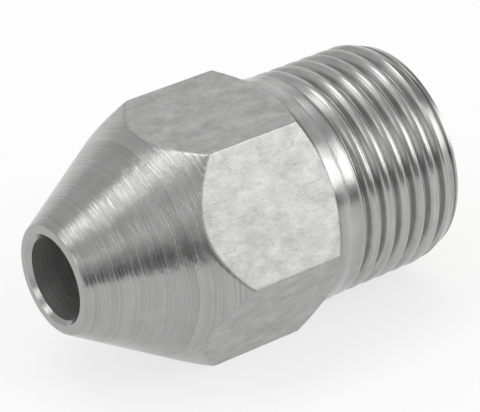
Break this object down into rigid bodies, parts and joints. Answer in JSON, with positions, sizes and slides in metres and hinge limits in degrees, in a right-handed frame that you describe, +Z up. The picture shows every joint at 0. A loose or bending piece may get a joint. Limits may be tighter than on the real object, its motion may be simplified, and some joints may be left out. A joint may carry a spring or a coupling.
{
  "type": "oil burner nozzle",
  "caption": "Turned hexagon-bodied oil burner nozzle with a conical nose, a pipe-threaded shank, a swirl atomiser, a sprung shut-off valve and a filter inside.",
  "frame": {"origin": "on the surface that the nozzle lies on, under the middle of its length and width", "axes": "+X along the nozzle's axis from the spray outlet to the threaded end, +Z up, square to the flat of the hexagon that it lies on"},
  "size_m": [0.0294, 0.0196, 0.0169],
  "materials": {
    "body_metal": "turned and drawn, satin",
    "hard_steel": "hardened and lapped",
    "stainless": "turned",
    "spring_wire": "drawn wire",
    "brass": "turned",
    "sintered_bronze": "porous, matt",
    "copper": "annealed",
    "seal_rubber": "moulded",
    "o_ring_rubber": "moulded"
  },
  "bodies": {
    "housing": {"nozzle_body": "body_metal", "orifice_disc": "hard_steel", "swirl_disc": "stainless", "lock_screw": "brass", "valve_spring": "spring_wire", "valve_seat": "brass", "seat_o_ring": "o_ring_rubber", "filter_cup": "sintered_bronze", "filter_gasket": "copper", "filter_ring": "brass"},
    "valve": {"valve_piston": "stainless", "valve_seal": "seal_rubber"}
  },
  "joints": [
    {"name": "valve_slide", "type": "slide", "parent": "housing", "child": "valve", "axis": [-1, 0, 0], "range_m": [0, 0.001], "stiffness_N_per_m": 1500, "springref_m": -0.0023, "deforming": ["valve_spring"]}
  ]
}
